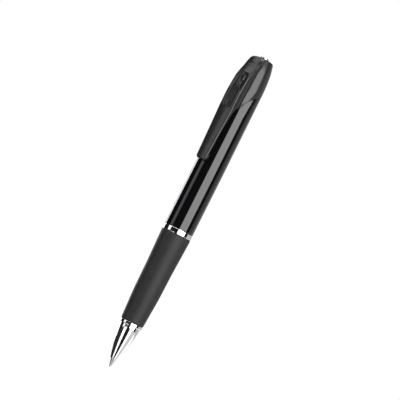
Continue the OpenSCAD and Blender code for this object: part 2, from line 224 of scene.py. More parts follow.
def stage_piece(name, bm, color):
    """A plain matte piece of the studio, not of the pen."""
    mesh = bpy.data.meshes.new(name)
    bm.to_mesh(mesh)
    bm.free()
    piece = bpy.data.objects.new(name, mesh)
    bpy.context.scene.collection.objects.link(piece)
    paint = bpy.data.materials.new(name)
    paint.use_nodes = True
    surface = paint.node_tree.nodes["Principled BSDF"]
    surface.inputs["Base Color"].default_value = (*color, 1)
    surface.inputs["Roughness"].default_value = 0.9
    surface.inputs["Specular IOR Level"].default_value = 0.0
    mesh.materials.append(paint)
    return piece


def floor():
    """A round pale floor, low enough to leave room for the front section when it is drawn off."""
    bm = bmesh.new()
    bmesh.ops.create_circle(bm, cap_ends=True, segments=96, radius=FLOOR_RADIUS)
    bmesh.ops.translate(bm, vec=(0, 0, FLOOR_Z), verts=bm.verts)
    stage_piece("floor", bm, (0.95, 0.95, 0.95)).visible_glossy = False


def floor_card(name, start, stop, shade):
    """A card lying on the floor from one angle to another, seen only in reflections."""
    bm = bmesh.new()
    ends = [bm.verts.new(round_pen(start, reach, CARD_Z)) for reach in (CARD_START, CARD_REACH)]
    edge = bm.edges.new(ends)
    bmesh.ops.spin(bm, geom=[*ends, edge], cent=(0, 0, 0), axis=(0, 0, 1),
                   angle=math.radians(stop - start), steps=24)
    card = stage_piece(name, bm, (shade, shade, shade))
    card.visible_camera = False
    card.visible_diffuse = False
    card.visible_shadow = False
    card.visible_transmission = False


floor()
floor_card("left dark card", -160, -55, 0.02)
floor_card("left pale card", -55, -24, 0.95)
floor_card("front dark card", -24, 16, 0.01)
floor_card("front pale card", 16, 46, 0.95)
floor_card("right grey card", 46, 92, 0.45)
floor_card("right pale card", 92, 150, 0.9)
floor_card("back card", 150, 200, 0.6)
print("floor", round(pen_low.z - FLOOR_Z, 3), "m below the tip, cards out to", CARD_REACH, "m")


# %% [markdown]
# ## Patterns that several finishes share
#
# Real surfaces vary a little: grain in a coating, smudges from fingers, hair-fine scratches. Painted
# pictures of these would blur close up. Noise worked out from the surface's own position stays
# sharp at any distance. Each is a node group, built once, that reads Object coordinates in metres,
# and each finish uses it with its own size and strength.

# %% Starting a pattern
PATTERNS = {}


def new_group(name, inputs, outputs):
    """An empty shader node group with float inputs {name: default} and float outputs."""
    group = bpy.data.node_groups.new(name, "ShaderNodeTree")
    for socket, default in inputs.items():
        made = group.interface.new_socket(socket, in_out="INPUT", socket_type="NodeSocketFloat")
        made.default_value = default
    for socket in outputs:
        group.interface.new_socket(socket, in_out="OUTPUT", socket_type="NodeSocketFloat")
    source = group.nodes.new("NodeGroupInput")
    sink = group.nodes.new("NodeGroupOutput")
    place = group.nodes.new("ShaderNodeTexCoord")
    return group, source, sink, place


print("patterns can be built")


# %% [markdown]
# ## Grain
#
# Coatings, rubber and moulded plastic all have an even fine grain. It has two outputs: the fine
# height, and a coarser copy of it for colour, because colour that changes as finely as the bump
# would average out to one tone.

# %% Grain
def grain_group():
    """Fine even grain: Height for bump, and Tone, the same grain more softly, for colour."""
    group, source, sink, place = new_group("grain", {"Scale": 4000.0}, ["Height", "Tone"])
    fine = group.nodes.new("ShaderNodeTexNoise")
    fine.inputs["Detail"].default_value = 3
    fine.inputs["Roughness"].default_value = 0.6
    broad = group.nodes.new("ShaderNodeTexNoise")
    broad.inputs["Detail"].default_value = 2
    coarser = group.nodes.new("ShaderNodeMath")
    coarser.operation = "MULTIPLY"
    coarser.inputs[1].default_value = 0.12
    link = group.links.new
    link(place.outputs["Object"], fine.inputs["Vector"])
    link(place.outputs["Object"], broad.inputs["Vector"])
    link(source.outputs["Scale"], fine.inputs["Scale"])
    link(source.outputs["Scale"], coarser.inputs[0])
    link(coarser.outputs[0], broad.inputs["Scale"])
    link(fine.outputs["Fac"], sink.inputs["Height"])
    link(broad.outputs["Fac"], sink.inputs["Tone"])
    return group


PATTERNS["grain"] = grain_group()
print("grain:", len(PATTERNS["grain"].nodes), "nodes")


# %% [markdown]
# ## Smudges
#
# A pen is handled, so its gloss is dulled in soft patches. Cloudy noise cut off at a middle value
# gives patches with clean surface between them.

# %% Smudges
def smudge_group():
    """Soft patches, as fingers leave: Mask is 0 on clean surface and 1 in the middle of a patch."""
    group, source, sink, place = new_group("smudges", {"Scale": 90.0}, ["Mask"])
    cloud = group.nodes.new("ShaderNodeTexNoise")
    cloud.inputs["Detail"].default_value = 5
    cloud.inputs["Distortion"].default_value = 0.6
    edge = group.nodes.new("ShaderNodeMapRange")
    edge.inputs["From Min"].default_value = 0.48
    edge.inputs["From Max"].default_value = 0.72
    link = group.links.new
    link(place.outputs["Object"], cloud.inputs["Vector"])
    link(source.outputs["Scale"], cloud.inputs["Scale"])
    link(cloud.outputs["Fac"], edge.inputs["Value"])
    link(edge.outputs["Result"], sink.inputs["Mask"])
    return group


PATTERNS["smudges"] = smudge_group()
print("smudges:", len(PATTERNS["smudges"].nodes), "nodes")


# %% [markdown]
# ## Scratches
#
# Hair-fine marks come from sliding in and out of a pocket, so they run along the pen. The borders
# between Voronoi cells are thin lines, and squeezing the coordinate along the pen draws them out.

# %% Scratches
def scratch_group():
    """Hair-fine marks that run along the pen: Mask is 1 on a mark."""
    group, source, sink, place = new_group("scratches", {"Scale": 900.0}, ["Mask"])
    stretch = group.nodes.new("ShaderNodeMapping")
    stretch.inputs["Scale"].default_value = (1, 1, 0.06)
    stretch.inputs["Rotation"].default_value = (0.12, 0.2, 0)
    web = group.nodes.new("ShaderNodeTexVoronoi")
    web.feature = "DISTANCE_TO_EDGE"
    edge = group.nodes.new("ShaderNodeMapRange")
    edge.inputs["From Min"].default_value = 0.03
    edge.inputs["From Max"].default_value = 0.0
    link = group.links.new
    link(place.outputs["Object"], stretch.inputs["Vector"])
    link(stretch.outputs["Vector"], web.inputs["Vector"])
    link(source.outputs["Scale"], web.inputs["Scale"])
    link(web.outputs["Distance"], edge.inputs["Value"])
    link(edge.outputs["Result"], sink.inputs["Mask"])
    return group


PATTERNS["scratches"] = scratch_group()
print("scratches:", len(PATTERNS["scratches"].nodes), "nodes")


# %% [markdown]
# ## Turning marks
#
# A lathe's tool leaves fine rings round whatever it turns. A wave banded along the pen's axis is the
# same thing, a little distorted so that it isn't perfect.

# %% Turning marks
def turning_group():
    """The rings that a lathe's tool leaves round a turned part: Height for bump."""
    group, source, sink, place = new_group("turning marks", {"Scale": 2500.0}, ["Height"])
    rings = group.nodes.new("ShaderNodeTexWave")
    rings.wave_type = "BANDS"
    rings.bands_direction = "Z"
    rings.inputs["Distortion"].default_value = 0.4
    rings.inputs["Detail"].default_value = 2
    link = group.links.new
    link(place.outputs["Object"], rings.inputs["Vector"])
    link(source.outputs["Scale"], rings.inputs["Scale"])
    link(rings.outputs["Fac"], sink.inputs["Height"])
    return group


PATTERNS["turning marks"] = turning_group()
print("patterns:", sorted(PATTERNS))


# %% [markdown]
# ## Starting a finish
#
# Every finish is one Principled surface with patterns led into its colour, its roughness and its
# bump. Writing each link out would hide what makes one finish differ from the next, so a small
# class holds the steps that they share.

# %% Starting a finish
class Finish:
    """A material that starts as one Principled surface, with short ways to add patterns to it."""

    def __init__(self, name, color, roughness, metallic=0.0, **more):
        self.material = bpy.data.materials.new(name)
        self.material.use_nodes = True
        self.tree = self.material.node_tree
        self.surface = self.tree.nodes["Principled BSDF"]
        self.surface.inputs["Base Color"].default_value = (*color, 1)
        self.surface.inputs["Roughness"].default_value = roughness
        self.surface.inputs["Metallic"].default_value = metallic
        for socket, value in more.items():
            self.surface.inputs[socket.replace("_", " ")].default_value = value

    def node(self, kind, **inputs):
        """A new node with some of its inputs set."""
        made = self.tree.nodes.new(kind)
        for socket, value in inputs.items():
            made.inputs[socket.replace("_", " ")].default_value = value
        return made

    def pattern(self, name, scale):
        """One of the shared patterns, at this finish's own scale."""
        made = self.tree.nodes.new("ShaderNodeGroup")
        made.node_tree = PATTERNS[name]
        made.inputs["Scale"].default_value = scale
        return made

    def spread(self, value, low, high):
        """value, which runs from 0 to 1, spread from low to high."""
        made = self.node("ShaderNodeMapRange", To_Min=low, To_Max=high)
        self.tree.links.new(value, made.inputs["Value"])
        return made.outputs["Result"]

    def colors(self, value, dark, light):
        """Colours the surface from dark to light as value runs from 0 to 1."""
        made = self.tree.nodes.new("ShaderNodeMix")
        made.data_type = "RGBA"
        made.inputs["A"].default_value = (*dark, 1)
        made.inputs["B"].default_value = (*light, 1)
        self.tree.links.new(value, made.inputs["Factor"])
        self.tree.links.new(made.outputs["Result"], self.surface.inputs["Base Color"])

    def rough(self, value, low, high):
        """Sets the roughness from low to high as value runs from 0 to 1."""
        self.tree.links.new(self.spread(value, low, high), self.surface.inputs["Roughness"])

    def bump(self, height, depth):
        """Raises the surface by height, which runs from 0 to 1, times depth in millimetres."""
        made = self.node("ShaderNodeBump", Strength=1.0, Distance=depth * MM)
        self.tree.links.new(height, made.inputs["Height"])
        self.tree.links.new(made.outputs["Normal"], self.surface.inputs["Normal"])


print("finishes start from one Principled surface")


# %% [markdown]
# ## Chrome
#
# The nose, the two rings and the button are chrome plated. Plating is a metal with hardly any
# roughness, and it could be left at that, but a mirror with no flaw looks like a drawing. Finger
# smudges widen its reflections a little in patches, and hair-fine marks run along the pen.

# %% Chrome
def chrome_finish():
    look = Finish("chrome", (0.9, 0.905, 0.92), 0.05, metallic=1.0)
    smudges = look.pattern("smudges", 120)
    look.rough(smudges.outputs["Mask"], 0.035, 0.10)
    scratches = look.pattern("scratches", 1500)
    look.bump(scratches.outputs["Mask"], -0.0004)
    return look.material


print("chrome ready")


# %% [markdown]
# ## Gloss black lacquer
#
# The barrel is black under a clear glossy layer. A black surface with low roughness would do, but
# lacquer has two reflections, a soft one from the colour and a sharp one from the layer over it, so
# the coat carries the sharp one. A slight ripple keeps the long bands from being ruled lines.

# %% Gloss black lacquer
def lacquer_finish():
    look = Finish("black lacquer", (0.002, 0.002, 0.0025), 0.12, Coat_Weight=1.0,
                  Coat_Roughness=0.02, Coat_IOR=1.5, Specular_IOR_Level=0.1)
    smudges = look.pattern("smudges", 70)
    look.rough(smudges.outputs["Mask"], 0.10, 0.22)
    ripple = look.pattern("grain", 550)
    look.bump(ripple.outputs["Height"], 0.0012)
    return look.material


print("lacquer ready")


# %% [markdown]
# ## Satin black coating
#
# The cap and the clip have a soft-touch coating: as black as the barrel, but its reflections are
# spread wide, so it looks dark grey in the light. The grain that spreads them is finer than the eye
# can part, so most of it is roughness and only a trace is bump.

# %% Satin black coating
def satin_finish():
    look = Finish("satin black", (0.012, 0.012, 0.0125), 0.24)
    grain = look.pattern("grain", 6500)
    look.colors(grain.outputs["Tone"], (0.010, 0.010, 0.0105), (0.016, 0.016, 0.0165))
    look.rough(look.pattern("smudges", 110).outputs["Mask"], 0.24, 0.18)
    look.bump(grain.outputs["Height"], 0.004)
    return look.material


print("satin ready")


# %% [markdown]
# ## Grip rubber
#
# The sleeve is moulded rubber, dull and a little dusty. Its mould is grained, so here the bump is
# deeper than on the cap, and its reflections are weak.

# %% Grip rubber
def rubber_finish():
    look = Finish("grip rubber", (0.013, 0.013, 0.014), 0.55, Specular_IOR_Level=0.32)
    grain = look.pattern("grain", 3800)
    look.colors(grain.outputs["Tone"], (0.008, 0.008, 0.009), (0.018, 0.018, 0.019))
    look.rough(grain.outputs["Tone"], 0.48, 0.62)
    look.bump(grain.outputs["Height"], 0.02)
    return look.material


print("rubber ready")


# %% [markdown]
# ## Turned metal
#
# The refill's point, the threaded spigot and the other small metal parts are turned on a lathe. The
# tool leaves fine rings round them, which a wave pattern gives as bump.

# %% Turned metal
def steel_finish(name, color, roughness, marks):
    look = Finish(name, color, roughness, metallic=1.0)
    look.rough(look.pattern("smudges", 300).outputs["Mask"], roughness * 0.8, roughness * 1.3)
    look.bump(look.pattern("turning marks", marks).outputs["Height"], 0.003)
    return look.material


print("turned metal ready")


# %% [markdown]
# ## Plastics
#
# The moulded parts inside differ only in colour, gloss and how clear they are, so one function makes
# them all. Each keeps a fine moulded grain in its colour, its roughness and its bump.

# %% Plastics
def plastic_finish(name, color, roughness, grain_depth=0.006, **more):
    look = Finish(name, color, roughness, **more)
    grain = look.pattern("grain", 5000)
    darker = tuple(part * 0.8 for part in color)
    lighter = tuple(min(1.0, part * 1.2) for part in color)
    look.colors(grain.outputs["Tone"], darker, lighter)
    look.rough(grain.outputs["Tone"], roughness * 0.85, min(1.0, roughness * 1.15))
    look.bump(grain.outputs["Height"], grain_depth)
    return look.material


print("plastics ready")


# %% [markdown]
# ## Boards, ribbon and battery
#
# Three electronic parts have a look that grain can't give. A board has copper tracks under green
# mask, and brickwork lines stand for them. The ribbon has copper lines along it, which are a wave.
# The battery's foil pouch is creased, which is coarse noise.

# %% Boards, ribbon and battery
def board_finish():
    """Green solder mask over copper tracks that stand a little proud under it."""
    look = Finish("circuit board", (0.01, 0.09, 0.04), 0.35, Coat_Weight=0.4)
    place = look.node("ShaderNodeTexCoord")
    tracks = look.node("ShaderNodeTexBrick", Scale=900, Mortar_Size=0.03)
    look.tree.links.new(place.outputs["Object"], tracks.inputs["Vector"])
    look.colors(tracks.outputs["Fac"], (0.008, 0.075, 0.03), (0.03, 0.16, 0.07))
    look.rough(look.pattern("smudges", 400).outputs["Mask"], 0.3, 0.45)
    look.bump(tracks.outputs["Fac"], 0.02)
    return look.material


def ribbon_finish():
    """Amber film with copper lines that run along it."""
    look = Finish("ribbon film", (0.45, 0.2, 0.03), 0.3, Coat_Weight=0.3)
    place = look.node("ShaderNodeTexCoord")
    lines = look.node("ShaderNodeTexWave", Scale=900)
    lines.bands_direction = "X"
    look.tree.links.new(place.outputs["Object"], lines.inputs["Vector"])
    look.colors(lines.outputs["Fac"], (0.5, 0.2, 0.02), (0.65, 0.34, 0.1))
    look.bump(lines.outputs["Fac"], 0.02)
    return look.material


def foil_finish():
    """The battery's pouch: crinkled foil."""
    look = Finish("cell foil", (0.6, 0.61, 0.63), 0.28, metallic=1.0)
    creases = look.pattern("grain", 700)
    look.rough(creases.outputs["Tone"], 0.2, 0.4)
    look.bump(creases.outputs["Height"], 0.08)
    return look.material


print("boards, ribbon and battery ready")


# %% [markdown]
# ## Glass and lamp
#
# The lens is real glass to the light, clear and bluish, so that the black inside it shows. The
# lamp's window is smoked red plastic that lets hardly any light through while it is off.

# %% Glass and lamp
def lens_finish():
    """Lens glass with the bluish cast of its coating."""
    look = Finish("lens glass", (0.8, 0.84, 0.95), 0.02, Transmission_Weight=1.0, IOR=1.52)
    look.rough(look.pattern("smudges", 800).outputs["Mask"], 0.01, 0.04)
    return look.material


def lamp_finish():
    """Smoked red plastic in front of the lamp, unlit."""
    look = Finish("smoked red", (0.1, 0.02, 0.035), 0.3, Transmission_Weight=0.15,
                  Coat_Weight=0.4)
    grain = look.pattern("grain", 3000)
    look.colors(grain.outputs["Tone"], (0.075, 0.014, 0.026), (0.12, 0.028, 0.042))
    look.rough(grain.outputs["Tone"], 0.25, 0.4)
    return look.material


print("glass and lamp ready")


# %% [markdown]
# ## Dressing the parts
#
# The CAD model names a material slot for each part, and a finish is kept under the name of each
# slot. Every part is dressed from this one table, whether or not it is modelled again below.

# %% Dressing the parts
FINISHES = {
    "chrome": chrome_finish(),
    "black_lacquer": lacquer_finish(),
    "satin_black": satin_finish(),
    "grip_rubber": rubber_finish(),
    "steel": steel_finish("bright steel", (0.62, 0.62, 0.63), 0.2, 2600),
    "brass": steel_finish("gilt can", (0.8, 0.62, 0.28), 0.25, 1500),
    "black_plastic": plastic_finish("black plastic", (0.015, 0.015, 0.016), 0.45),
    "chip_black": plastic_finish("chip plastic", (0.02, 0.02, 0.022), 0.6),
    "clear_tube": plastic_finish("clear tube", (0.8, 0.8, 0.77), 0.2,
                                 Transmission_Weight=0.7, IOR=1.49),
    "ink": plastic_finish("ink", (0.004, 0.006, 0.03), 0.15, grain_depth=0.001),
    "led": plastic_finish("lamp resin", (0.85, 0.8, 0.7), 0.2, Transmission_Weight=0.3),
    "circuit_board": board_finish(),
    "ribbon": ribbon_finish(),
    "cell_foil": foil_finish(),
    "lens_glass": lens_finish(),
    "red_lens": lamp_finish(),
}


def dress(piece, slot):
    """Gives a piece the one finish of its slot."""
    piece.data.materials.clear()
    piece.data.materials.append(FINISHES[slot])


for subpart in frame["record"]["subparts"]:
    dress(frame["nodes"][subpart["node"]], subpart["material_slot"])


# %% [markdown]
# ## Outlines
#
# The CAD surfaces are exact but made of flat facets once they become a mesh, and a gloss surface
# shows every one. So each outside part is made again from an outline: a few points where the real
# part changes direction, with arcs for its rounded corners and a smooth curve for a long side.

# %% Outlines
def points_between(a, b, c, d, steps):
    """Points on the smooth curve from b towards c, with a and d as the neighbours."""
    found = []
    for step in range(steps):
        t = step / steps
        found.append(tuple(
            0.5 * (2 * q + (r - p) * t + (2 * p - 5 * q + 4 * r - s) * t * t
                   + (3 * q - p - 3 * r + s) * t ** 3)
            for p, q, r, s in zip(a, b, c, d)))
    return found


def curve_through(points, steps=6):
    """A smooth outline through a few points, ending exactly on the first and the last."""
    padded = [points[0], *points, points[-1]]
    curve = []
    for i in range(len(points) - 1):
        curve += points_between(*padded[i:i + 4], steps)
    return [*curve, points[-1]]


def arc(across, along, radius, start, stop, steps=6):
    """Points on an arc about (across, along), from one angle to another in degrees."""
    turns = [math.radians(start + (stop - start) * i / steps) for i in range(steps + 1)]
    return [(across + radius * math.cos(t), along + radius * math.sin(t)) for t in turns]


print("a quarter round has", len(arc(0, 0, 1, 0, 90)), "points")


# %% [markdown]
# ## Spinning and pushing
#
# Nearly every part of a pen is turned or moulded round, so its outline is spun about the axis. Flat
# parts are their outline pushed straight across. Both leave the piece at the pen's own origin,
# where the frame needs it.

# %% Spinning and pushing
def as_object(name, bm):
    """Ends a bmesh and links it as an object at the origin."""
    mesh = bpy.data.meshes.new(name)
    bm.to_mesh(mesh)
    bm.free()
    made = bpy.data.objects.new(name, mesh)
    bpy.context.scene.collection.objects.link(made)
    return made


def lathe(name, outline, steps=144):
    """Spins a closed outline of (radius, height) in millimetres round the pen's axis."""
    bm = bmesh.new()
    ring = [bm.verts.new((r * MM, 0, z * MM)) for r, z in outline]
    edges = [bm.edges.new(pair) for pair in zip(ring, ring[1:] + ring[:1])]
    bmesh.ops.spin(bm, geom=ring + edges, cent=(0, 0, 0), axis=(0, 0, 1),
                   angle=math.tau, steps=steps, use_merge=True)
    bmesh.ops.remove_doubles(bm, verts=bm.verts, dist=0.0005 * MM)
    bmesh.ops.recalc_face_normals(bm, faces=bm.faces)
    return as_object(name, bm)


def pushed(name, outline, axis, start, stop):
    """Pushes a closed outline in millimetres along X or Y: (depth, height) along X, with depth
    towards -Y, or (x, height) along Y."""
    bm = bmesh.new()
    if axis == "X":
        ring = [bm.verts.new((start * MM, -d * MM, z * MM)) for d, z in outline]
        shift = Vector(((stop - start) * MM, 0, 0))
    else:
        ring = [bm.verts.new((x * MM, start * MM, z * MM)) for x, z in outline]
        shift = Vector((0, (stop - start) * MM, 0))
    face = bm.faces.new(ring)
    grown = bmesh.ops.extrude_face_region(bm, geom=[face], use_keep_orig=True)
    moved = [v for v in grown["geom"] if isinstance(v, bmesh.types.BMVert)]
    bmesh.ops.translate(bm, vec=shift, verts=moved)
    bmesh.ops.recalc_face_normals(bm, faces=bm.faces)
    return as_object(name, bm)


print("lathe and pushed ready")


# %% [markdown]
# ## Cutting, softening and finishing a piece
#
# Where one part is notched for another, a Boolean cut does what a cutter does on the real one. A
# moulded or machined edge is never quite sharp, and the thin line of light along a rounded edge is
# what makes a part look real, so a bevel follows the cuts. Each modifier is made part of the mesh at
# once, so that the next step works on the real shape.

# %% Cutting, softening and finishing a piece
def settle(piece):
    """Makes a piece's modifiers part of its mesh."""
    bpy.context.view_layer.update()
    drawn = piece.evaluated_get(bpy.context.evaluated_depsgraph_get())
    mesh = bpy.data.meshes.new_from_object(drawn)
    piece.modifiers.clear()
    piece.data = mesh


def cut(piece, cutter, operation="DIFFERENCE"):
    """Cuts a piece with another for good, and throws the cutter away."""
    step = piece.modifiers.new("cut", "BOOLEAN")
    step.operation = operation
    step.solver = "EXACT"
    step.object = cutter
    settle(piece)
    bpy.data.objects.remove(cutter)


def soften(piece, width, segments=3, angle=40):
    """Rounds a piece's sharp edges by a width in millimetres."""
    step = piece.modifiers.new("soften", "BEVEL")
    step.width = width * MM
    step.segments = segments
    step.limit_method = "ANGLE"
    step.angle_limit = math.radians(angle)
    step.use_clamp_overlap = True
    settle(piece)


def ready(piece, slot, body, *stands_for, sharp=35):
    """Smooths a piece's shading up to the sharp angle, gives it its finish, puts it on its body if
    it has just one, and hides the CAD parts that it stands for."""
    piece.data.shade_smooth()
    piece.data.set_sharp_from_angle(angle=math.radians(sharp))
    dress(piece, slot)
    if body:
        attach(piece, body)
    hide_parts(*stands_for)
    print(piece.name, len(piece.data.polygons), "faces")


print("cutting and softening ready")


# %% [markdown]
# ## Nose cone
#
# The nose cone is an ogive, not a straight cone: its side is a long curve that closes in on the
# refill, with a small rolled lip at the mouth. A cone primitive would show one straight stripe, so
# the side is a curve through a few points. It is hollow, because the refill shows in its mouth.

# %% Nose cone
CONE_SIDE = [(1.6, 3.78), (2.14, 5.8), (2.62, 7.94), (3.1, 9.9), (3.52, 11.96),
             (3.87, 13.9), (4.16, 16), (4.36, 17.8), (4.47, 19.2), (4.49, 19.5)]


def nose_cone():
    mouth = arc(1.42, 3.83, 0.18, 180, 330, 5)
    outline = [*mouth, *curve_through(CONE_SIDE, 5)[1:], (3.3, 19.5), (3.3, 14.55), (2.2, 14.55),
               (2.2, 10), (1.25, 10)]
    ready(lathe("nose_cone_piece", outline), "chrome", "front_section", "nose_cone")


nose_cone()


# %% [markdown]
# ## Bright rings
#
# A collar closes the foot of the grip and a wider ring marks the joint between the two halves. Each
# is a turned ring with rounded shoulders, and the shoulders are what catch the light.

# %% Bright rings
RING_SHOULDER = 0.3


def bead(name, radius, low, high, inner, node):
    """A bright ring with round shoulders."""
    across = radius - RING_SHOULDER
    outline = [(inner, low), *arc(across, low + RING_SHOULDER, RING_SHOULDER, -90, 0),
               *arc(across, high - RING_SHOULDER, RING_SHOULDER, 0, 90), (inner, high)]
    ready(lathe(name, outline), "chrome", "front_section", node)


bead("collar_piece", 5.05, 19.56, 21.04, 3.3, "nose_collar")
bead("ring_piece", 6.62, 63.17, 65.44, 5.52, "mid_ring")


# %% [markdown]
# ## Rubber sleeve
#
# The grip is a moulded sleeve stretched over the front tube. It swells towards the hand and ends in
# soft lips where it meets metal, so both ends of its outline are arcs.

# %% Rubber sleeve
def rubber_sleeve():
    side = curve_through([(5.2, 21.45), (5.5, 27.2), (5.9, 34.8), (6.13, 47), (6.48, 56.7),
                          (6.68, 62.7)], 8)
    outline = [(4.34, 21.12), *arc(4.9, 21.42, 0.3, -90, -8, 5), *side,
               *arc(6.38, 62.78, 0.3, 12, 90, 5), (5.53, 63.08), (5.53, 49.5), (4.34, 46)]
    ready(lathe("rubber_sleeve", outline), "grip_rubber", "front_section", "rubber_grip")


rubber_sleeve()


# %% [markdown]
# ## Writing point
#
# A refill's point is turned from wire: a parallel shank, a long cone, a short neck, and the rim that
# is swaged over the ball. It is the smallest turned part that shows, so its outline has every step,
# and a lower limit on smooth shading keeps the steps crisp.

# %% Writing point
def writing_point():
    outline = [(0.0, 0.36), (0.22, 0.36), (0.3, 0.2), (0.345, 0.2), (0.45, 0.42), (0.61, 0.8),
               *arc(0.55, 0.95, 0.09, 0, 60, 3), (0.67, 1.3), (0.72, 1.55), (1.1, 3.2),
               *arc(1.0, 3.55, 0.15, -10, 30, 3), (1.15, 3.75), (1.15, 10.2), (1.05, 10.2),
               (1.05, 14), (0.0, 14)]
    ready(lathe("writing_point", outline, 96), "steel", "refill", "refill_tip", sharp=25)


writing_point()


# %% [markdown]
# ## The swept seam and the rib's notch
#
# The barrel and the cap share one side line, so that they read as one form, and part along a swept
# edge: low beside the clip and high at the back. Drawing that edge on a round surface would be hard.
# Seen from the side it is one arc, so one cylinder lying across the pen cuts both. The clip's thick
# head sits in a notch through both as well, and one cutter makes that too.

# %% The swept seam and the rib's notch
SEAM = 0.16
NOTCH_HALF_WIDTH = 4.16
NOTCH_ROOM = 0.05
NOTCH_FOOT = 118
PAST_PEN = 20
SWEEP_RADIUS = 12.05
SWEEP_CENTRE = (6.5, 120.25)
LOW_SIDE = [(6.6, 65.52), (6.6, 95), (6.4, 120.25), (6.31, 132.25)]


def sweep_cutter(gap):
    """Everything above the cap's lower edge, moved down by gap."""
    radius = SWEEP_RADIUS - gap
    across, height = SWEEP_CENTRE
    foot = height - gap
    edge = arc(-across, height, radius, 0, 180, 64)
    outline = [(PAST_PEN, foot), *[p for p in edge if p[1] >= foot], (-PAST_PEN, foot),
               (-PAST_PEN, 160), (PAST_PEN, 160)]
    return pushed("sweep cutter", outline, "X", -PAST_PEN, PAST_PEN)


RIB_FACE = [(8.58, 119.6), (8.66, 123.6), (8.74, 127.8), (8.52, 131.5), (8.02, 136.3),
            (7.3, 138.6), (6.2, 141.4), (4.7, 146.95)]
RIB_BACK = [(3.58, 146.95), (3.58, 140), (3.88, 138), (3.88, 124.2), (6.88, 121.3)]


def notch_cutter():
    """The clip's thick head and a little room round it."""
    outline = [*RIB_FACE, *RIB_BACK, (RIB_BACK[-1][0], NOTCH_FOOT), (RIB_FACE[0][0], NOTCH_FOOT)]
    middle_depth = 4.2
    wider = [(d + NOTCH_ROOM if d > middle_depth else d - NOTCH_ROOM, z) for d, z in outline]
    return pushed("notch cutter", wider, "X", -NOTCH_HALF_WIDTH, NOTCH_HALF_WIDTH)


print("seam", SEAM, "mm wide, notch", 2 * NOTCH_HALF_WIDTH, "mm wide")


# %% [markdown]
# ## Barrel
#
# The barrel is a drawn tube, straight for most of its length, with its wall showing only at the
# foot. It is spun with many steps because its long reflections show every facet.

# %% Barrel
def barrel():
    lip = arc(6.42, 65.7, 0.18, -90, 0, 4)
    outline = [(5.5, 65.52), *lip, *LOW_SIDE[1:], (5.5, 132.25)]
    piece = lathe("barrel_piece", outline, 192)
    cut(piece, sweep_cutter(SEAM))
    cut(piece, notch_cutter())
    soften(piece, 0.12, 2, 50)
    ready(piece, "black_lacquer", "pen_body", "rear_barrel")


barrel()


# %% [markdown]
# ## Cap
#
# The cap closes the pen with a shoulder that rolls over to a flat end. It is thin and moulded, and
# a dark tube inside it joins it to the barrel, so the seam between them shows a floor and not a
# slot. The same two cutters shape it, this time keeping what the barrel loses.

# %% Cap
def cap():
    side = curve_through([(6.31, 132.25), (6.2, 136.3), (5.95, 139.9), (5.68, 142.2),
                          (5.32, 144.1), (4.78, 146.4)], 5)
    shoulder = curve_through([(4.78, 146.4), (4.62, 146.95), (4.25, 147.25), (3.6, 147.38),
                              (2.97, 147.45)], 4)
    outline = [(5.4, 120.25), (6.4, 120.25), *side, *shoulder[1:], (2.97, 146.97), (2.1, 146.97),
               (2.1, 146.2), (3.9, 146.2), (4.4, 143.9), (5, 139.9), (5.4, 133)]
    piece = lathe("cap_piece", outline, 192)
    cut(piece, sweep_cutter(0), "INTERSECT")
    cut(piece, notch_cutter())
    soften(piece, 0.14, 2, 50)
    ready(piece, "satin_black", "pen_body", "cap_shell")


def spigot():
    """The cap's thin tube, which shows in the seam as a dark floor."""
    outline = [(4.75, 113), (5.3, 113), (5.45, 113.4), (5.45, 133.1), (4.75, 133.1)]
    piece = lathe("spigot_piece", outline)
    cut(piece, notch_cutter())
    ready(piece, "black_plastic", "pen_body", "cap_shell")


cap()
spigot()


# %% [markdown]
# ## The shutter's track
#
# The lens, the lamp and the shutter all lie on one flat track that leans back a little from
# upright. Each is modelled about the track's own datum, where its sizes are plain numbers, and is
# then moved onto the clip's face by one matrix.

# %% The shutter's track
TRACK_DEPTH = 8.45
TRACK_HEIGHT = 124
TRACK_LEAN = math.radians(-3.3)
TRACK_FLOOR = 0.73
SHUTTER_WIDTH = 4
SHUTTER_LOW = -2.7
SHUTTER_HIGH = 8.2
SHUTTER_TRAVEL = 5.9
LENS_HEIGHT = 12
SURROUND_RADIUS = 1.74
LAMP_WIDTH = 1.6
LAMP_LOW = 8.28
LAMP_HIGH = 10.12
DETENT_HEIGHT = 2
TRACK = (Matrix.Translation((0, -TRACK_DEPTH * MM, TRACK_HEIGHT * MM))
         @ Matrix.Rotation(TRACK_LEAN, 4, "X"))


def on_track(piece):
    """Moves a piece modelled about the track's datum onto the clip's face."""
    piece.data.transform(TRACK)
    return piece


def oblong(width, low, high):
    """The (x, height) outline of a bar with round ends."""
    r = width / 2
    return [*arc(0, high - r, r, 0, 180, 24), *arc(0, low + r, r, 180, 360, 24)]


def disc_outline(radius, height, steps=64):
    """The (x, height) outline of a disc."""
    return arc(0, height, radius, 0, 360, steps)[:-1]


print("the track leans back", round(-math.degrees(TRACK_LEAN), 1), "degrees")


# %% [markdown]
# ## The clip's section
#
# Seen from outside the clip is one piece: a thick head with the camera in it that thins into the
# leaf. Its section is the same all the way up, a bar with chamfered edges on its face, while its
# width, its face and its back each follow a line of their own. So the section is a function of
# height.

